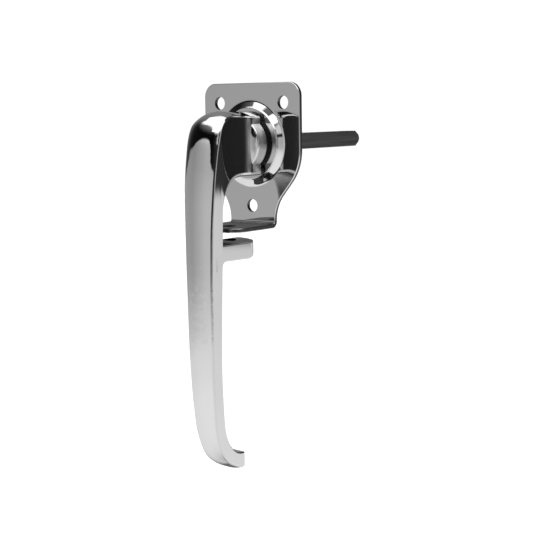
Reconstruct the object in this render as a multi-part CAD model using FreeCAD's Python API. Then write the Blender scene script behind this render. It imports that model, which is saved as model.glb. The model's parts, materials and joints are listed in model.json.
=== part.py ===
"""Padlockable latch handle: an L-shaped pull handle turning a square spindle in a
pressed mounting plate whose lower end is folded forward into a padlock shelf.

Units are millimetres. Origin: the spindle axis where it crosses the plate's back
face. +X to the right of a person facing the door, +Y into the door, +Z up. The
handle is at rest pointing straight down, its padlock lug under the plate's shelf.
"""

import FreeCAD
import Part
import math
import os

V = FreeCAD.Vector

# ---- driving dimensions ------------------------------------------------------
# mounting plate
SHEET = 2.5                 # sheet thickness
PLATE_HALF_W = 35.1
PLATE_TOP = 34.55
PLATE_CORNER_R = 8.0
SHOULDER = (35.1, -13.9)    # virtual corner under the straight side, x and z
SHOULDER_R = 28.0
WAIST = (16.4, -35.9)       # virtual corner where the slope meets the shelf's width
WAIST_R = 23.2
BEND_Z = -44.5              # the fold starts here
BEND_IN_R = 1.4
SHELF_FRONT = -36.5
SHELF_CORNER_R = 8.0
FIX_HOLE_R = 3.8
FIX_TOP = (23.36, 23.1)     # the two upper fixing holes, +-x and z
FIX_LOW_Z = -35.95
PADLOCK_R = 5.5
PADLOCK_Y = -26.0
SHEET_EDGE_R = 0.5          # broken edges of the sheet

# collar pressed out of the plate round the hub
COLLAR_BASE_R = 24.4        # virtual corner at the sheet
COLLAR_FOOT_FILLET = 3.0
COLLAR_SHOULDER = (20.95, -4.42)   # the cone ends here in a short steep shoulder, r and y
COLLAR_CREST_R = 20.45      # virtual corner at the collar's face
COLLAR_CREST_FILLET = 0.5
COLLAR_FACE_Y = -5.1
COLLAR_HOLE_R = 11.5

# handle casting
REAR_Y = -7.3               # back face of the hub
HUB_R = 15.6
HUB_FRONT = -15.0
HUB_RIM_R = 0.9
HUB_DOME_R = 46.0           # the hub's front is slightly domed
CROWN_R = 19.5              # crown across the outer face
EDGE_R = 1.0                # rounding of the outer long edges
LUG_EDGE_R = 0.7            # rounding of the lug's edges
TAIL_END_R = 0.7            # rounding round the tail's end face
JOURNAL_R = 9.5
JOURNAL_END = 1.3
GROOVE_R = 8.6

# spindle
SPINDLE_AF = 9.525          # across flats
SPINDLE_TIP = 102.4
SPINDLE_ROOT = -14.0
SPINDLE_TIP_R = 5.5         # length of the eased tip
BORE_AF = 9.6
PIN_R = 2.0
PIN_Y = -10.8

# bush, washers and snap ring
BUSH_FLANGE_R = 16.2
BUSH_FRONT = -7.25
BUSH_END = -2.45
BUSH_BORE_R = 9.56
WAVE_FRONT = -2.4
WAVE_H = 0.8
WAVE_T = 0.35
WASHER_T = 0.5
RING_T = 1.0

NECK_W = WAIST[0]


def edge_path(points, put):
    """Edges of a closed polygon whose corners are rounded. Each point is
    (a, b, radius); put(a, b) places a point in space."""
    n = len(points)
    corners = []
    for i, (a, b, r) in enumerate(points):
        if r <= 0:
            corners.append(((a, b), None, (a, b)))
            continue
        pa, pb = points[i - 1][:2]
        na, nb = points[(i + 1) % n][:2]
        ua, ub = pa - a, pb - b
        va, vb = na - a, nb - b
        lu, lv = math.hypot(ua, ub), math.hypot(va, vb)
        ua, ub, va, vb = ua / lu, ub / lu, va / lv, vb / lv
        ang = math.acos(max(-1.0, min(1.0, ua * va + ub * vb)))
        t = r / math.tan(ang / 2)
        ba, bb = ua + va, ub + vb
        lb = math.hypot(ba, bb)
        d = r / math.sin(ang / 2)
        ca, cb = a + ba / lb * d, b + bb / lb * d
        ma, mb = ca - ba / lb * r, cb - bb / lb * r
        corners.append(((a + ua * t, b + ub * t), (ma, mb), (a + va * t, b + vb * t)))
    edges = []
    for i in range(n):
        start, mid, end = corners[i]
        if mid is not None:
            edges.append(Part.Arc(put(*start), put(*mid), put(*end)).toShape())
        nxt = corners[(i + 1) % n][0]
        if math.hypot(nxt[0] - end[0], nxt[1] - end[1]) > 1e-7:
            edges.append(Part.makeLine(put(*end), put(*nxt)))
    return edges


def rounded_face(points, put):
    return Part.Face(Part.Wire(edge_path(points, put)))


def cyl_y(r, y0, y1, x=0.0, z=0.0):
    return Part.makeCylinder(r, y1 - y0, V(x, y0, z), V(0, 1, 0))


def cyl_z(r, z0, z1, x=0.0, y=0.0):
    return Part.makeCylinder(r, z1 - z0, V(x, y, z0), V(0, 0, 1))


def tidy(shape):
    """One clean solid with merged coplanar faces."""
    shape = shape.removeSplitter()
    solids = shape.Solids
    if len(solids) != 1:
        raise ValueError("expected one solid, got %d" % len(solids))
    return solids[0]


# ---- mounting plate ----------------------------------------------------------
def mounting_plate():
    w, top, r = PLATE_HALF_W, PLATE_TOP, PLATE_CORNER_R
    half = [(w, top, r), SHOULDER + (SHOULDER_R,), WAIST + (WAIST_R,), (NECK_W, BEND_Z, 0)]
    other = [(-x, z, q) for x, z, q in reversed(half)]
    flat = rounded_face(half + other, lambda x, z: V(x, -SHEET, z)).extrude(V(0, SHEET, 0))

    rim = 27.5
    run = COLLAR_BASE_R - COLLAR_SHOULDER[0]
    rise = -SHEET - COLLAR_SHOULDER[1]
    slope = math.atan2(rise, run)
    shift = SHEET * math.tan(slope / 2)
    back_face = COLLAR_FACE_Y + SHEET
    ring = rounded_face([
        (rim, -SHEET, 0),
        (COLLAR_BASE_R, -SHEET, COLLAR_FOOT_FILLET),
        COLLAR_SHOULDER + (0.7,),
        (COLLAR_CREST_R, COLLAR_FACE_Y, COLLAR_CREST_FILLET),
        (COLLAR_HOLE_R, COLLAR_FACE_Y, 0),
        (COLLAR_HOLE_R, back_face, 0),
        (COLLAR_BASE_R - shift - run * (-back_face) / rise, back_face, 0.6),
        (COLLAR_BASE_R - shift, 0.0, COLLAR_FOOT_FILLET - SHEET),
        (rim, 0.0, 0),
    ], lambda a, b: V(a, b, 0)).revolve(V(0, 0, 0), V(0, 1, 0), 360)
    flat = flat.cut(cyl_y(rim, -SHEET - 1, 1))

    # quarter bend and shelf: one section swept across, trimmed by the shelf's plan
    cy = -SHEET - BEND_IN_R
    ro = BEND_IN_R + SHEET
    z0 = BEND_Z - ro
    strip = rounded_face([
        (0, BEND_Z, 0), (0, z0, ro), (SHELF_FRONT, z0, 0), (SHELF_FRONT, z0 + SHEET, 0),
        (-SHEET, z0 + SHEET, BEND_IN_R), (-SHEET, BEND_Z, 0),
    ], lambda y, z: V(-NECK_W, y, z)).extrude(V(2 * NECK_W, 0, 0))
    plan = rounded_face([
        (-NECK_W, 1, 0), (NECK_W, 1, 0), (NECK_W, SHELF_FRONT, SHELF_CORNER_R), (-NECK_W, SHELF_FRONT, SHELF_CORNER_R),
    ], lambda x, y: V(x, y, z0 - 1)).extrude(V(0, 0, ro + 2))
    plate = flat.fuse([ring, strip.common(plan)]).removeSplitter()

    def outline(e):
        """The sheet's outer edges on its visible side, fold and shelf included."""
        b = e.BoundBox
        c = e.CenterOfMass
        if abs(b.YMin + SHEET) < 1e-4 and abs(b.YMax + SHEET) < 1e-4:
            return (math.hypot(c.x, c.z) > 28 or abs(c.x) > 28) and not (b.ZLength < 1e-4 and c.z < 0)
        if b.ZLength < 1e-4 and b.YMax < cy + 1e-3:
            return not (b.YLength < 1e-4 and abs(b.YMin - cy) < 1e-3)
        return abs(abs(c.x) - NECK_W) < 1e-3 and c.z < BEND_Z and c.y > cy and b.XLength < 1e-4 and b.YLength > 0.5

    try:
        eased = plate.makeFillet(SHEET_EDGE_R, [e for e in plate.Edges if outline(e)])
        if eased.isValid() and len(eased.Solids) == 1:
            plate = eased
        else:
            print("plate: edges left sharp (invalid)")
    except Exception as error:
        print("plate: edges left sharp", error)

    holes = [cyl_y(FIX_HOLE_R, -SHEET - 1, 1, sx * FIX_TOP[0], FIX_TOP[1]) for sx in (-1, 1)]
    holes.append(cyl_y(FIX_HOLE_R, -SHEET - 1, 1, 0, FIX_LOW_Z))
    holes.append(cyl_z(PADLOCK_R, z0 - 1, z0 + SHEET + 1, 0, PADLOCK_Y))
    for h in holes:
        plate = plate.cut(h)
    return tidy(plate)


# ---- handle casting ----------------------------------------------------------
# stations from the hub round the bend, down the grip and round the hooked tail:
# inner (back) line y, z and half width; outer side edge y, z and half width;
# rounding of the back corners
STATIONS = [
    ((-7.3, -17.8, 10.70), (-7.3, 15.10, 10.70), 2.0),
    ((-10.4, -17.8, 10.78), (-10.4, 15.05, 10.78), 2.0),
    ((-13.2, -17.8, 10.80), (-13.2, 15.00, 10.80), 2.0),
    ((-16.0, -17.8, 10.68), (-16.0, 15.00, 10.68), 2.0),
    ((-18.3, -17.8, 10.20), (-18.3, 15.15, 10.20), 2.0),
    ((-21.5, -17.9, 9.85), (-21.5, 15.43, 9.85), 2.1),
    ((-24.6, -18.15, 9.80), (-25.0, 15.70, 9.82), 2.3),
    ((-27.4, -18.65, 9.92), (-28.3, 15.82, 10.00), 2.4),
    ((-29.9, -19.45, 10.10), (-31.5, 15.62, 10.27), 2.5),
    ((-32.3, -20.8, 10.34), (-34.6, 14.80, 10.62), 2.6),
    ((-34.6, -22.6, 10.58), (-37.8, 13.05, 11.02), 2.6),
    ((-36.5, -24.7, 10.76), (-40.5, 10.80, 11.38), 2.6),
    ((-38.0, -27.1, 10.84), (-42.2, 7.90, 11.62), 2.5),
    ((-39.2, -29.8, 10.82), (-43.45, 4.40, 11.72), 2.3),
    ((-40.0, -32.6, 10.72), (-44.55, 0.40, 11.66), 2.0),
    ((-40.5, -35.6, 10.57), (-45.6, -5.00, 11.53), 1.7),
    ((-40.62, -39.0, 10.42), (-46.6, -11.00, 11.40), 1.5),
    ((-40.6, -44.0, 10.28), (-47.6, -18.50, 11.22), 1.3),
    ((-40.6, -50.0, 10.13), (-48.5, -28.00, 10.95), 1.2),
    ((-40.6, -57.0, 9.95), (-49.2, -40.00, 10.40), 1.1),
    ((-40.68, -65.0, 9.83), (-49.65, -53.00, 10.02), 1.1),
    ((-40.8, -74.0, 9.68), (-49.84, -67.50, 9.78), 1.1),
    ((-41.0, -85.0, 9.47), (-49.92, -82.50, 9.50), 1.1),
    ((-41.4, -98.0, 9.40), (-49.80, -98.00, 9.40), 1.1),
    ((-41.6, -112.0, 9.20), (-49.70, -112.00, 9.20), 1.1),
    ((-41.35, -126.0, 8.74), (-49.47, -126.30, 8.74), 1.1),
    ((-40.75, -139.0, 8.50), (-48.80, -139.80, 8.48), 1.1),
    ((-39.8, -151.0, 8.20), (-47.60, -152.30, 8.18), 1.1),
    ((-38.4, -161.0, 7.85), (-46.00, -162.80, 7.82), 1.1),
    ((-36.5, -166.9, 7.68), (-43.50, -170.00, 7.65), 1.1),
    ((-33.9, -171.3, 7.58), (-39.90, -176.80, 7.55), 1.1),
    ((-30.4, -174.7, 7.45), (-34.60, -181.70, 7.45), 1.1),
    ((-26.2, -176.85, 7.30), (-28.40, -184.90, 7.30), 1.0),
    ((-21.4, -177.6, 7.10), (-21.40, -186.30, 7.10), 0.9),
]


def bezier(a, b, c):
    curve = Part.BezierCurve()
    curve.setPoles([a, b, c])
    return curve.toShape()


def station_normals():
    """Outward normals of the outer side edge in the plane of Y and Z."""
    pts = [V(0, outer[0], outer[1]) for _, outer, _ in STATIONS]
    curve = Part.BSplineCurve()
    curve.interpolate(pts)
    normals = []
    for p, (inner, outer, _) in zip(pts, STATIONS):
        t = curve.tangent(curve.parameter(p))[0]
        ny, nz = t.z, -t.y
        if ny * (outer[0] - inner[0]) + nz * (outer[1] - inner[1]) < 0:
            ny, nz = -ny, -nz
        normals.append((ny, nz))
    normals[0] = (0.0, 1.0)
    normals[-1] = (0.0, -1.0)
    return normals


def arm():
    wires = []
    for (inner, outer, rb), (ny, nz) in zip(STATIONS, station_normals()):
        wi, wo = inner[2], outer[2]
        dy, dz = outer[0] - inner[0], outer[1] - inner[1]
        length = math.hypot(dy, dz)
        re = EDGE_R

        def side(sx, s):
            """Point on the side line, s from the inner end to the outer edge."""
            f = s / length
            return V(sx * (wi + (wo - wi) * f), inner[0] + dy * f, inner[1] + dz * f)

        def crown(x):
            rise = math.sqrt(CROWN_R ** 2 - x * x) - math.sqrt(CROWN_R ** 2 - wo * wo)
            return V(x, outer[0] + ny * rise, outer[1] + nz * rise)

        def back(x):
            return V(x, inner[0], inner[1])

        edges = [
            Part.makeLine(back(-wi + rb), back(wi - rb)),
            bezier(back(wi - rb), side(1, 0), side(1, rb)),
            Part.makeLine(side(1, rb), side(1, length - re)),
            bezier(side(1, length - re), side(1, length), crown(wo - re)),
            Part.Arc(crown(wo - re), crown(0), crown(-wo + re)).toShape(),
            bezier(crown(-wo + re), side(-1, length), side(-1, length - re)),
            Part.makeLine(side(-1, length - re), side(-1, rb)),
            bezier(side(-1, rb), side(-1, 0), back(-wi + rb)),
        ]
        wires.append(Part.Wire(edges))
    return Part.makeLoft(wires, True, False, False)


def lug():
    """Padlock lug behind the grip: flush sides, rounded end, crowned top and a
    concave root under it."""
    w, tip, plan_r = 9.9, -10.2, 6.2
    z0, z0_tip, z1, edge = -64.3, -64.9, -53.4, -55.4
    root = -46.0
    low = z0 - 8
    plan = rounded_face([(-w, root, 0), (w, root, 0), (w, tip, plan_r), (-w, tip, plan_r)],
                        lambda x, y: V(x, y, low)).extrude(V(0, 0, 24))
    crown = Part.Arc(V(w, root, edge), V(0, root, z1), V(-w, root, edge)).toShape()
    front = Part.Face(Part.Wire([
        Part.makeLine(V(-w, root, low), V(w, root, low)),
        Part.makeLine(V(w, root, low), V(w, root, edge)),
        crown,
        Part.makeLine(V(-w, root, edge), V(-w, root, low)),
    ])).extrude(V(0, tip - root + 1, 0))
    top = z1 + 0.4
    wall = -40.9
    side = rounded_face([
        (root, top, 0), (tip + 0.6, top, 6.5), (tip + 0.6, z0_tip, 8.5), (wall, z0, 3.2), (wall, z0 - 5, 0), (root, z0 - 5, 0),
    ], lambda y, z: V(-w - 1, y, z)).extrude(V(2 * w + 2, 0, 0))
    solid = plan.common(front).common(side)

    def eased(e):
        """The edges round the lug's sides and end, at its top and its underside."""
        c, box = e.CenterOfMass, e.BoundBox
        if box.XLength + box.YLength < 0.1 or (abs(c.x) < 3 and abs(c.y - tip) > 1e-3):
            return False
        if c.z < -59:
            return box.YMin > wall + 3.1
        return c.z < z1 - 0.3 and box.ZMin > -59

    return solid.makeFillet(LUG_EDGE_R, [e for e in solid.Edges if eased(e)])


def ring_front():
    return WAVE_FRONT + WAVE_H + WASHER_T


def handle():
    yc = HUB_FRONT + math.sqrt(HUB_DOME_R ** 2 - HUB_R ** 2)
    rim_r = HUB_R - HUB_RIM_R
    rim_y = yc - math.sqrt((HUB_DOME_R - HUB_RIM_R) ** 2 - rim_r ** 2)
    slope = math.atan2(rim_r, yc - rim_y)

    def on_dome(angle):
        return V(HUB_DOME_R * math.sin(angle), yc - HUB_DOME_R * math.cos(angle), 0)

    def on_rim(angle):
        return V(rim_r + HUB_RIM_R * math.sin(angle), rim_y - HUB_RIM_R * math.cos(angle), 0)

    back = [V(HUB_R, rim_y, 0), V(HUB_R, REAR_Y, 0), V(JOURNAL_R, REAR_Y, 0), V(JOURNAL_R, JOURNAL_END - 0.5, 0),
            V(JOURNAL_R - 0.5, JOURNAL_END, 0), V(0, JOURNAL_END, 0), on_dome(0)]
    edges = [Part.Arc(on_dome(0), on_dome(slope / 2), on_dome(slope)).toShape(),
             Part.Arc(on_dome(slope), on_rim((slope + math.pi / 2) / 2), on_rim(math.pi / 2)).toShape()]
    edges += [Part.makeLine(p, q) for p, q in zip(back, back[1:])]
    hub = Part.Face(Part.Wire(edges)).revolve(V(0, 0, 0), V(0, 1, 0), 360)
    stem = arm()
    end = STATIONS[-1][0][0]
    tail = [e for e in stem.Edges if abs(e.BoundBox.YMin - end) < 1e-3 and abs(e.BoundBox.YMax - end) < 1e-3]
    body = stem.makeFillet(TAIL_END_R, tail).fuse([hub, lug()])
    y0 = ring_front()
    groove = cyl_y(JOURNAL_R + 1, y0 - 0.02, y0 + RING_T + 0.02).cut(cyl_y(GROOVE_R, y0 - 1, y0 + RING_T + 1))
    body = body.cut(groove)
    a = BORE_AF / 2
    body = body.cut(Part.makeBox(2 * a, JOURNAL_END + 1 - SPINDLE_ROOT + 0.2, 2 * a, V(-a, SPINDLE_ROOT - 0.2, -a)))
    body = body.cut(cyl_z(PIN_R, -25, 9.0, 0, PIN_Y))
    body = body.cut(cyl_z(PADLOCK_R, -72, -50, 0, PADLOCK_Y))
    return tidy(body)


# ---- spindle, pin, bush, washers, ring ----------------------------------------
def spindle():
    a = SPINDLE_AF / 2
    bar = Part.makeBox(2 * a, SPINDLE_TIP - SPINDLE_ROOT, 2 * a, V(-a, SPINDLE_ROOT, -a))
    long_edges = [e for e in bar.Edges if e.BoundBox.YLength > 50]
    bar = bar.makeFillet(0.4, long_edges)
    tip = rounded_face([
        (0, SPINDLE_ROOT - 1, 0), (9, SPINDLE_ROOT - 1, 0), (9, SPINDLE_TIP - SPINDLE_TIP_R, 0),
        (6.75, SPINDLE_TIP - SPINDLE_TIP_R, 1.0), (4.1, SPINDLE_TIP, 0.8), (0, SPINDLE_TIP, 0),
    ], lambda r, y: V(r, y, 0)).revolve(V(0, 0, 0), V(0, 1, 0), 360)
    return tidy(bar.common(tip).cut(cyl_z(PIN_R, -20, 20, 0, PIN_Y)))


def spindle_pin():
    """Slotted spring pin, driven in from below."""
    tube = cyl_z(PIN_R, -16.5, 8.5, 0, PIN_Y).cut(cyl_z(PIN_R - 0.8, -20, 20, 0, PIN_Y))
    slot = Part.makeBox(0.8, PIN_R + 1, 40, V(-0.4, PIN_Y, -20))
    return tidy(tube.cut(slot))


def hub_bushing():
    return tidy(rounded_face([
        (BUSH_BORE_R, BUSH_FRONT, 0), (BUSH_FLANGE_R, BUSH_FRONT, 0.4), (BUSH_FLANGE_R, COLLAR_FACE_Y, 0),
        (COLLAR_HOLE_R, COLLAR_FACE_Y, 0), (COLLAR_HOLE_R, BUSH_END, 0), (BUSH_BORE_R, BUSH_END, 0),
    ], lambda a, b: V(a, b, 0)).revolve(V(0, 0, 0), V(0, 1, 0), 360))


def wave_washer():
    """Three-wave spring washer under light preload."""
    mean = WAVE_FRONT + WAVE_H / 2
    amp = (WAVE_H - WAVE_T) / 2 - 0.005
    ri, ro = 12.0, 17.5
    n = 36

    def rim(r, y_off):
        curve = Part.BSplineCurve()
        curve.interpolate([V(r * math.cos(2 * math.pi * i / n),
                             mean + y_off + amp * math.cos(6 * math.pi * i / n),
                             r * math.sin(2 * math.pi * i / n)) for i in range(n)], True)
        return curve.toShape()

    h = WAVE_T / 2
    fi, fo, bi, bo = rim(ri, -h), rim(ro, -h), rim(ri, h), rim(ro, h)
    shell = Part.makeShell([Part.makeRuledSurface(a, b) for a, b in ((fi, fo), (bi, bo), (fi, bi), (fo, bo))])
    shell.sewShape()
    solid = Part.makeSolid(shell)
    if solid.Volume < 0:
        solid.reverse()
    return solid


def thrust_washer():
    y = WAVE_FRONT + WAVE_H
    return tidy(cyl_y(17.3, y, y + WASHER_T).cut(cyl_y(JOURNAL_R + 0.2, y - 1, y + 2)))


def retaining_ring():
    """External snap ring with two ears at the gap, seated in the journal's groove."""
    y0 = ring_front()
    y1 = y0 + RING_T
    ring = cyl_y(12.0, y0, y1)
    ring = ring.fuse(Part.makeBox(9.0, RING_T, 4.6, V(-4.5, y0, 9.6)))
    ring = ring.cut(cyl_y(GROOVE_R, y0 - 1, y1 + 1))
    ring = ring.cut(Part.makeBox(3.0, RING_T + 2, 9.0, V(-1.5, y0 - 1, 6.5)))
    for sx in (-1, 1):
        ring = ring.cut(cyl_y(0.9, y0 - 1, y1 + 1, sx * 3.0, 12.6))
    return tidy(ring)


def main():
    os.makedirs("parts", exist_ok=True)
    parts = {
        "mounting_plate": mounting_plate(),
        "handle": handle(),
        "spindle": spindle(),
        "spindle_pin": spindle_pin(),
        "hub_bushing": hub_bushing(),
        "wave_washer": wave_washer(),
        "thrust_washer": thrust_washer(),
        "retaining_ring": retaining_ring(),
    }
    for name, shape in parts.items():
        if not shape.isValid() or len(shape.Solids) != 1:
            raise ValueError("%s is not one valid solid" % name)
        box = shape.BoundBox
        print("%-16s volume %9.1f mm3  x %.2f..%.2f  y %.2f..%.2f  z %.2f..%.2f" % (
            name, shape.Volume, box.XMin, box.XMax, box.YMin, box.YMax, box.ZMin, box.ZMax))
        shape.exportStep("parts/%s.step" % name)


main()
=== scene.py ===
import json
import math
import bpy
from mathutils import Matrix, Vector

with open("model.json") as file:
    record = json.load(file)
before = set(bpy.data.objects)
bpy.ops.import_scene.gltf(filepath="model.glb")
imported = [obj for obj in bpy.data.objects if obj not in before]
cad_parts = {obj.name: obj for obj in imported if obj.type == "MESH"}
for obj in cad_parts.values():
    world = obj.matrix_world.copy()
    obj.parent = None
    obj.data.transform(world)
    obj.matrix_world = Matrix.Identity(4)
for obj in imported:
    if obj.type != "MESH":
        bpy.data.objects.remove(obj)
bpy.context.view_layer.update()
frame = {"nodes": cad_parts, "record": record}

NODES = frame["nodes"]


# ---- node helpers ------------------------------------------------------------
class Graph:
    """Small helper that strings value nodes together in one node tree."""

    def __init__(self, tree):
        self.tree = tree

    def feed(self, socket, value):
        if isinstance(value, (int, float)):
            socket.default_value = value
        else:
            self.tree.links.new(value, socket)

    def math(self, operation, *values):
        node = self.tree.nodes.new("ShaderNodeMath")
        node.operation = operation
        for socket, value in zip(node.inputs, values):
            self.feed(socket, value)
        return node.outputs[0]

    def step(self, value, lo, hi, out_lo=0.0, out_hi=1.0):
        """Smooth step: out_lo at lo and out_hi at hi."""
        node = self.tree.nodes.new("ShaderNodeMapRange")
        node.interpolation_type = "SMOOTHSTEP"
        for key, number in (("From Min", lo), ("From Max", hi), ("To Min", out_lo), ("To Max", out_hi)):
            node.inputs[key].default_value = number
        self.feed(node.inputs["Value"], value)
        return node.outputs["Result"]

    def curve(self, value, points, x_lo, x_hi, y_lo, y_hi):
        """Soft curve through a few points given in plain units."""
        unit = self.math("DIVIDE", self.math("SUBTRACT", value, x_lo), x_hi - x_lo)
        node = self.tree.nodes.new("ShaderNodeFloatCurve")
        line = node.mapping.curves[0]
        while len(line.points) < len(points):
            line.points.new(0.5, 0.5)
        for point, (x, y) in zip(line.points, points):
            point.location = ((x - x_lo) / (x_hi - x_lo), (y - y_lo) / (y_hi - y_lo))
            point.handle_type = "AUTO_CLAMPED"
        node.mapping.update()
        self.feed(node.inputs["Value"], unit)
        return self.math("ADD", self.math("MULTIPLY", node.outputs["Value"], y_hi - y_lo), y_lo)


# ---- finishes ----------------------------------------------------------------
def new_material(name):
    mat = bpy.data.materials.new(name)
    mat.use_nodes = True
    tree = mat.node_tree
    bsdf = tree.nodes.get("Principled BSDF")
    return mat, tree, bsdf


def object_noise(tree, scale, detail=3.0, stretch=(1.0, 1.0, 1.0)):
    coord = tree.nodes.new("ShaderNodeTexCoord")
    mapping = tree.nodes.new("ShaderNodeMapping")
    mapping.inputs["Scale"].default_value = stretch
    noise = tree.nodes.new("ShaderNodeTexNoise")
    noise.inputs["Scale"].default_value = scale
    noise.inputs["Detail"].default_value = detail
    tree.links.new(coord.outputs["Object"], mapping.inputs["Vector"])
    tree.links.new(mapping.outputs["Vector"], noise.inputs["Vector"])
    return noise


def ramp(tree, source, lo, hi):
    """A value socket moved from 0..1 to lo..hi."""
    node = tree.nodes.new("ShaderNodeMapRange")
    node.inputs["To Min"].default_value = lo
    node.inputs["To Max"].default_value = hi
    tree.links.new(source, node.inputs["Value"])
    return node.outputs["Result"]


def place_and_normal(g):
    """Object space position in millimetres and normal, as six value sockets."""
    coord = g.tree.nodes.new("ShaderNodeTexCoord")
    out = []
    for key in ("Object", "Normal"):
        split = g.tree.nodes.new("ShaderNodeSeparateXYZ")
        g.tree.links.new(coord.outputs[key], split.inputs["Vector"])
        out += [split.outputs[k] for k in "XYZ"]
    return [g.math("MULTIPLY", v, 1000.0) for v in out[:3]] + out[3:]


def raw_edges_and_fold_shade(g):
    """Sheared edges and hole walls, which are not polished, and painted shade on the inside of the fold, made darker
    and rougher there.
    """
    x, y, z, nx, ny, nz = place_and_normal(g)
    across, along, upright = (g.math("ABSOLUTE", v) for v in (nx, ny, nz))
    radius = g.math("SQRT", g.math("ADD", g.math("MULTIPLY", x, x), g.math("MULTIPLY", z, z)))
    flat = g.math("MULTIPLY", g.math("GREATER_THAN", z, -44.45), g.math("GREATER_THAN", radius, 27.0))
    shelf = g.math("MULTIPLY", g.math("LESS_THAN", y, -6.45), g.math("LESS_THAN", z, -45.0))
    fold = g.math("MULTIPLY", g.math("LESS_THAN", z, -44.5), g.step(across, 0.92, 0.98))
    cut = g.math("MAXIMUM", g.math("MULTIPLY", flat, g.step(along, 0.1, 0.3, 1.0, 0.0)),
                 g.math("MULTIPLY", shelf, g.step(upright, 0.1, 0.3, 1.0, 0.0)))
    # painted shade: the inner face of the fold gets the dark base colour where the recess lies in shade
    inside = g.math("MULTIPLY", g.math("MULTIPLY", g.math("LESS_THAN", z, -44.3), g.step(nz, 0.35, 0.8)),
                    g.math("GREATER_THAN", z, -46.5))
    return g.math("MAXIMUM", g.math("MAXIMUM", cut, fold), inside)


def lug_top_and_arch_shade(g):
    """The lug's top, made darker and rougher, and painted shade inside the arch, darker and rougher there."""
    x, y, z, nx, ny, nz = place_and_normal(g)
    top = g.math("MULTIPLY", g.math("MULTIPLY", g.math("GREATER_THAN", y, -40.5), g.math("LESS_THAN", z, -52.0)),
                 g.math("MULTIPLY", g.step(nz, 0.55, 0.8), g.math("GREATER_THAN", z, -60.0)))
    # painted shade: the faces inside the arch, under the neck and facing the plate, get the dark base colour at 0.85
    # weight
    arch = g.math("MAXIMUM", g.step(ny, 0.5, 0.8), g.step(nz, -0.6, -0.3, 1.0, 0.0))
    arch = g.math("MULTIPLY", g.math("MULTIPLY", arch, g.step(z, -48.0, -40.0)), g.math("MULTIPLY", g.step(y, -16.0, -14.0, 1.0, 0.0), 0.85))
    return g.math("MAXIMUM", top, arch)


def satin_casting(g):
    """The hub's rim behind its front edge, which the buffing wheel does not reach."""
    x, y, z, nx, ny, nz = place_and_normal(g)
    radius = g.math("SQRT", g.math("ADD", g.math("MULTIPLY", x, x), g.math("MULTIPLY", z, z)))
    return g.math("MULTIPLY", g.math("MULTIPLY", g.step(y, -15.2, -14.2), g.step(radius, 14.9, 15.4)),
                  g.step(nz, 0.55, 0.85, 1.0, 0.25))


def satin_sheet(g):
    """The collar's flat face round the hub."""
    x, y, z, nx, ny, nz = place_and_normal(g)
    return g.math("MULTIPLY", g.step(y, -5.09, -4.9, 1.0, 0.0), 0.5)


def chrome(name, base, rough_lo, rough_hi, darker_parts_and_shade, darker_and_shade_base, raw_rough, satin):
    mat, tree, bsdf = new_material(name)
    g = Graph(tree)
    bsdf.inputs["Metallic"].default_value = 1.0
    # the mask joins real unpolished surfaces with painted shade; masked areas get a dark, streaky base colour and more
    # roughness
    mask = darker_parts_and_shade(g)
    streaks = object_noise(tree, 900.0, 4.0, (0.25, 1.0, 1.0))
    darker_and_shade_tone = ramp(tree, streaks.outputs["Fac"], darker_and_shade_base * 0.3, darker_and_shade_base * 1.7)
    keep = g.math("SUBTRACT", 1.0, mask)
    tree.links.new(g.math("ADD", g.math("MULTIPLY", keep, base), g.math("MULTIPLY", mask, darker_and_shade_tone)), bsdf.inputs["Base Color"])
    noise = object_noise(tree, 60.0)
    gloss = g.math("ADD", ramp(tree, noise.outputs["Fac"], rough_lo, rough_hi), g.math("MULTIPLY", satin(g), 0.26))
    tree.links.new(g.math("ADD", g.math("MULTIPLY", keep, gloss), g.math("MULTIPLY", mask, raw_rough)), bsdf.inputs["Roughness"])
    return mat


def dark_steel():
    mat, tree, bsdf = new_material("spindle_steel")
    bsdf.inputs["Metallic"].default_value = 1.0
    noise = object_noise(tree, 400.0, 4.0, (1.0, 0.04, 1.0))
    mix = tree.nodes.new("ShaderNodeValToRGB")
    mix.color_ramp.elements[0].position = 0.3
    mix.color_ramp.elements[0].color = (0.10, 0.10, 0.10, 1)
    mix.color_ramp.elements[1].position = 0.75
    mix.color_ramp.elements[1].color = (0.17, 0.17, 0.17, 1)
    tree.links.new(noise.outputs["Fac"], mix.inputs["Fac"])
    tree.links.new(mix.outputs["Color"], bsdf.inputs["Base Color"])
    tree.links.new(ramp(tree, noise.outputs["Fac"], 0.38, 0.55), bsdf.inputs["Roughness"])
    return mat


def spring_steel():
    mat, tree, bsdf = new_material("spring_steel")
    bsdf.inputs["Base Color"].default_value = (0.3, 0.3, 0.31, 1)
    bsdf.inputs["Metallic"].default_value = 1.0
    noise = object_noise(tree, 300.0)
    tree.links.new(ramp(tree, noise.outputs["Fac"], 0.3, 0.45), bsdf.inputs["Roughness"])
    return mat


def black_acetal():
    mat, tree, bsdf = new_material("bush_plastic")
    noise = object_noise(tree, 500.0)
    mix = tree.nodes.new("ShaderNodeValToRGB")
    mix.color_ramp.elements[0].color = (0.004, 0.004, 0.004, 1)
    mix.color_ramp.elements[1].color = (0.006, 0.006, 0.006, 1)
    tree.links.new(noise.outputs["Fac"], mix.inputs["Fac"])
    tree.links.new(mix.outputs["Color"], bsdf.inputs["Base Color"])
    bsdf.inputs["Roughness"].default_value = 0.4
    bsdf.inputs["Specular IOR Level"].default_value = 0.05
    return mat


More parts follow.
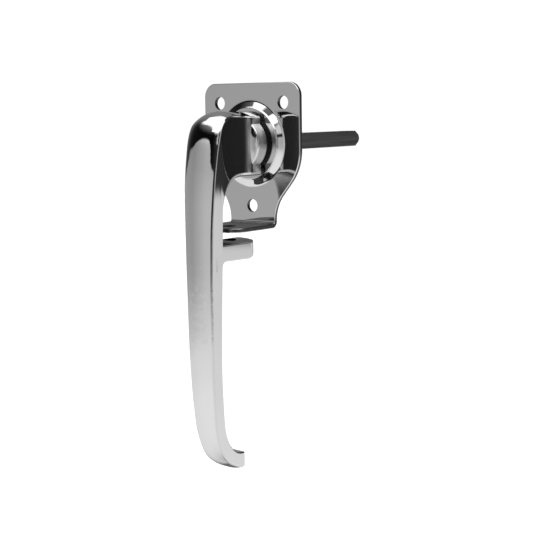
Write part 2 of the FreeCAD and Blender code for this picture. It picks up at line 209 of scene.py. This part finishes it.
MATERIALS = {
    # dark bases 0.09 and 0.22 are partly painted shade, inside the fold and inside the arch
    "chrome_plate": chrome("chrome_plate", 0.62, 0.03, 0.05, raw_edges_and_fold_shade, 0.09, 0.32, satin_sheet),
    "chrome_handle": chrome("chrome_handle", 0.62, 0.03, 0.045, lug_top_and_arch_shade, 0.22, 0.30, satin_casting),
    "spindle_steel": dark_steel(),
    "spring_steel": spring_steel(),
    "bush_plastic": black_acetal(),
}

SLOT_OF = {s["node"]: s["material_slot"] for s in frame["record"]["subparts"]}
for name, obj in NODES.items():
    obj.data.materials.clear()
    obj.data.materials.append(MATERIALS[SLOT_OF[name]])


# ---- studio ------------------------------------------------------------------
def studio_world():
    """Studio surround seen in the chrome, as bands of height above the horizon: a
    pale table below, a grey room in front, a black gap over it, and a large white
    overhead softbox. Directions are turns from straight in front of the plate,
    positive to the right, in degrees."""
    world = bpy.data.worlds.new("studio")
    bpy.context.scene.world = world
    world.use_nodes = True
    tree = world.node_tree
    tree.nodes.clear()
    g = Graph(tree)
    coord = tree.nodes.new("ShaderNodeTexCoord")
    split = tree.nodes.new("ShaderNodeSeparateXYZ")
    tree.links.new(coord.outputs["Generated"], split.inputs["Vector"])
    x, y, z = (split.outputs[k] for k in "XYZ")
    height = g.math("DEGREES", g.math("ARCSINE", z))
    turn = g.math("DEGREES", g.math("ARCTAN2", x, g.math("MULTIPLY", y, -1.0)))

    def around(points, lo, hi):
        return g.curve(turn, points, -180.0, 180.0, lo, hi)

    # top of the grey room, and foot of the overhead softbox
    room_top = around([(-180, -4), (-150, -6), (-120, -2), (-100, 0), (-90, 3), (-80, 6.5), (-65, 10.5), (-50, 17),
                       (-30, 23.5), (-15, 25), (-3, 24), (2, 20), (6, 15.5), (10, 12), (17, 9), (20, 7.5), (22, 6),
                       (24.5, -5), (60, -6), (80, -10), (110, -10), (125, -7), (136, -6.6), (140, -6.65), (143, -6.1), (147, -6.0), (165, -4.5),
                       (180, -4)], -30.0, 60.0)
    room_soft = around([(-180, 1.2), (105, 1.2), (125, 0.35), (158, 0.35), (180, 1.2)], 0.0, 2.0)
    box_foot = around([(-180, 68), (-145, 64), (-100, 60), (-88, 53), (-75, 46), (-62, 47.5), (-45, 52), (-25, 53.5),
                       (-8, 50), (5, 44), (12, 38.5), (18, 35.5), (28, 37), (60, 36.5), (90, 34), (115, 42), (130, 60),
                       (150, 70), (180, 70)], 0.0, 90.0)
    dim = around([(-180, 0.20), (-135, 0.30), (-118, 0.24), (-104, 0.13), (-92, 0.05), (-80, 0.015), (-50, 0.006),
                  (10, 0.004), (24, 0.03), (48, 0.045), (56, 0.2), (65, 0.5), (110, 0.5), (120, 0.2), (130, 0.05),
                  (150, 0.04), (165, 0.08), (180, 0.20)], 0.0, 1.0)
    veil = around([(-180, 0.0), (-120, 0.04), (-95, 0.16), (-60, 0.2), (-20, 0.24), (0, 0.3), (25, 0.1), (60, 0.0),
                   (180, 0.0)], 0.0, 1.0)
    side = around([(-180, 0.9), (-110, 0.75), (-80, 0.76), (-60, 0.75), (-40, 0.88), (-20, 1.03), (0, 1.18), (15, 1.2),
                   (22, 0.7), (28, 0.28), (55, 0.22), (75, 0.6), (110, 0.8), (140, 1.0), (180, 0.9)], 0.0, 2.0)
    far_side = around([(-180, 0.88), (-110, 0.93), (-80, 0.95), (-40, 1.0), (0, 1.01), (25, 0.97), (55, 0.88),
                       (90, 0.86), (115, 0.92), (140, 0.96), (165, 0.9), (180, 0.88)], 0.0, 2.0)
    table_edge = around([(-180, -11), (-110, -11), (95, -11), (112, -3), (165, -3), (180, -11)], -30.0, 60.0)

    room = g.math("MULTIPLY", side, g.curve(height, [(-90, 0.5), (-12, 0.64), (-5, 0.62), (0, 0.59), (5, 0.56), (10, 0.52),
                                                      (16, 0.55), (22, 0.70), (28, 0.85), (90, 0.85)], -90.0, 90.0, 0.0, 2.0))
    table = g.math("MULTIPLY", far_side, g.curve(height, [(-90, 0.5), (-75, 0.72), (-62, 0.98), (-50, 1.13), (-35, 1.16),
                                                          (-22, 1.15), (-15, 1.05), (-8, 0.95), (0, 0.9), (90, 0.9)],
                                                 -90.0, 90.0, 0.0, 2.0))
    shade = g.math("MULTIPLY", around([(-180, 0), (-165, 0.3), (-150, 0.45), (-140, 0.82), (-133, 0.82), (-125, 0.45),
                                       (-115, 0.28), (-100, 0.1), (-85, 0.02), (-70, 0), (180, 0)], 0.0, 1.0),
                   g.math("MULTIPLY", g.step(height, -66.0, -56.0), g.step(height, -24.0, -16.0, 1.0, 0.0)))
    table = g.math("MULTIPLY", table, g.math("SUBTRACT", 1.0, shade))
    table_in = g.step(g.math("SUBTRACT", height, table_edge), -3.8, 3.8, 1.0, 0.0)
    lower = g.math("ADD", g.math("MULTIPLY", table, table_in),
                   g.math("MULTIPLY", room, g.math("SUBTRACT", 1.0, table_in)))

    over_room = g.math("SUBTRACT", height, room_top)
    into_box = g.math("SUBTRACT", height, box_foot)
    gap = g.math("ADD", dim, g.math("MULTIPLY", veil, g.step(height, 30.0, 50.0)))
    is_low = g.step(g.math("DIVIDE", over_room, room_soft), -1.0, 1.0, 1.0, 0.0)
    is_box = g.step(into_box, -6.5, 6.5)
    low_part = g.math("MULTIPLY", lower, is_low)
    gap_part = g.math("MULTIPLY", gap, g.math("SUBTRACT", 1.0, g.math("MAXIMUM", is_low, is_box)))
    box_part = g.math("MULTIPLY", is_box, 2.0)
    total = g.math("ADD", g.math("ADD", low_part, gap_part), box_part)

    glow = tree.nodes.new("ShaderNodeBackground")
    glow.inputs["Color"].default_value = (1, 1, 1, 1)
    tree.links.new(total, glow.inputs["Strength"])
    white = tree.nodes.new("ShaderNodeBackground")
    white.inputs["Color"].default_value = (1, 1, 1, 1)
    white.inputs["Strength"].default_value = 1.05
    path = tree.nodes.new("ShaderNodeLightPath")
    mix = tree.nodes.new("ShaderNodeMixShader")
    out = tree.nodes.new("ShaderNodeOutputWorld")
    tree.links.new(path.outputs["Is Camera Ray"], mix.inputs["Fac"])
    tree.links.new(glow.outputs["Background"], mix.inputs[1])
    tree.links.new(white.outputs["Background"], mix.inputs[2])
    tree.links.new(mix.outputs["Shader"], out.inputs["Surface"])


def studio_floor():
    """Plain pale floor, far enough below the hanging part to leave room for views
    from underneath."""
    import bmesh
    mesh = bpy.data.meshes.new("floor")
    bm = bmesh.new()
    bmesh.ops.create_grid(bm, x_segments=8, y_segments=8, size=8.0)
    bm.to_mesh(mesh)
    bm.free()
    floor = bpy.data.objects.new("floor", mesh)
    bpy.context.scene.collection.objects.link(floor)
    floor.location = (0.0, 0.0, -0.8)
    mat, tree, bsdf = new_material("floor_paper")
    bsdf.inputs["Base Color"].default_value = (0.86, 0.86, 0.86, 1)
    bsdf.inputs["Roughness"].default_value = 0.9
    bsdf.inputs["Specular IOR Level"].default_value = 0.1
    bsdf.inputs["Emission Color"].default_value = (1, 1, 1, 1)
    bsdf.inputs["Emission Strength"].default_value = 0.45
    mesh.materials.append(mat)
    floor.visible_glossy = False


def soft_card(name, lo, hi, edge, strength):
    """Small soft white card, seen only in the chrome. lo and hi are opposite
    corners in metres, equal in the axis that the card faces."""
    flat = [i for i in range(3) if abs(hi[i] - lo[i]) < 1e-9][0]
    u, v = [i for i in range(3) if i != flat]
    corners = []
    for a, b in ((lo[u], lo[v]), (hi[u], lo[v]), (hi[u], hi[v]), (lo[u], hi[v])):
        point = [lo[flat]] * 3
        point[u], point[v] = a, b
        corners.append(tuple(point))
    mesh = bpy.data.meshes.new(name)
    mesh.from_pydata(corners, [], [(0, 1, 2, 3)])
    card = bpy.data.objects.new(name, mesh)
    bpy.context.scene.collection.objects.link(card)
    mat = bpy.data.materials.new(name + "_paper")
    mat.use_nodes = True
    tree = mat.node_tree
    tree.nodes.clear()
    g = Graph(tree)
    coord = tree.nodes.new("ShaderNodeTexCoord")
    split = tree.nodes.new("ShaderNodeSeparateXYZ")
    tree.links.new(coord.outputs["Object"], split.inputs["Vector"])
    soft = 1.0
    for axis in (u, v):
        value = split.outputs["XYZ"[axis]]
        soft = g.math("MULTIPLY", soft, g.step(value, lo[axis], lo[axis] + edge))
        soft = g.math("MULTIPLY", soft, g.step(value, hi[axis] - edge, hi[axis], 1.0, 0.0))
    glow = tree.nodes.new("ShaderNodeEmission")
    glow.inputs["Color"].default_value = (1, 1, 1, 1)
    glow.inputs["Strength"].default_value = strength
    clear = tree.nodes.new("ShaderNodeBsdfTransparent")
    mix = tree.nodes.new("ShaderNodeMixShader")
    out = tree.nodes.new("ShaderNodeOutputMaterial")
    tree.links.new(soft, mix.inputs["Fac"])
    tree.links.new(clear.outputs["BSDF"], mix.inputs[1])
    tree.links.new(glow.outputs["Emission"], mix.inputs[2])
    tree.links.new(mix.outputs["Shader"], out.inputs["Surface"])
    mesh.materials.append(mat)
    card.visible_camera = False
    card.visible_diffuse = False
    card.visible_shadow = False


studio_floor()
soft_card("card_over", (-0.085, -0.112, 0.128), (0.060, 0.0, 0.128), 0.012, 2.0)
soft_card("card_front", (0.004, -0.131, 0.072), (0.080, -0.131, 0.121), 0.008, 2.0)
soft_card("card_right", (0.044, -0.131, 0.030), (0.084, -0.131, 0.084), 0.010, 0.9)
studio_world()

scene = bpy.context.scene
scene.view_settings.view_transform = "Standard"
scene.view_settings.look = "None"

# ---- camera ------------------------------------------------------------------
AZ, EL, ROLL = math.radians(38.51), math.radians(7.95), math.radians(-0.82)
DIST, TX, TY = 0.6748, 0.00927, -0.0734
back = Vector((math.sin(AZ) * math.cos(EL), -math.cos(AZ) * math.cos(EL), math.sin(EL)))
right0 = Vector((math.cos(AZ), math.sin(AZ), 0.0))
up0 = back.cross(right0)
right = right0 * math.cos(ROLL) + up0 * math.sin(ROLL)
up = up0 * math.cos(ROLL) - right0 * math.sin(ROLL)
cam_data = bpy.data.cameras.new("camera")
cam_data.sensor_width = 36.0
cam_data.lens = 1165.81 / 540.0 * 36.0
cam_data.clip_start = 0.01
cam_data.clip_end = 50.0
cam = bpy.data.objects.new("camera", cam_data)
scene.collection.objects.link(cam)
place = back * DIST + right * TX + up * TY
cam.matrix_world = Matrix((
    (right.x, up.x, back.x, place.x),
    (right.y, up.y, back.y, place.y),
    (right.z, up.z, back.z, place.z),
    (0, 0, 0, 1),
))
scene.camera = cam
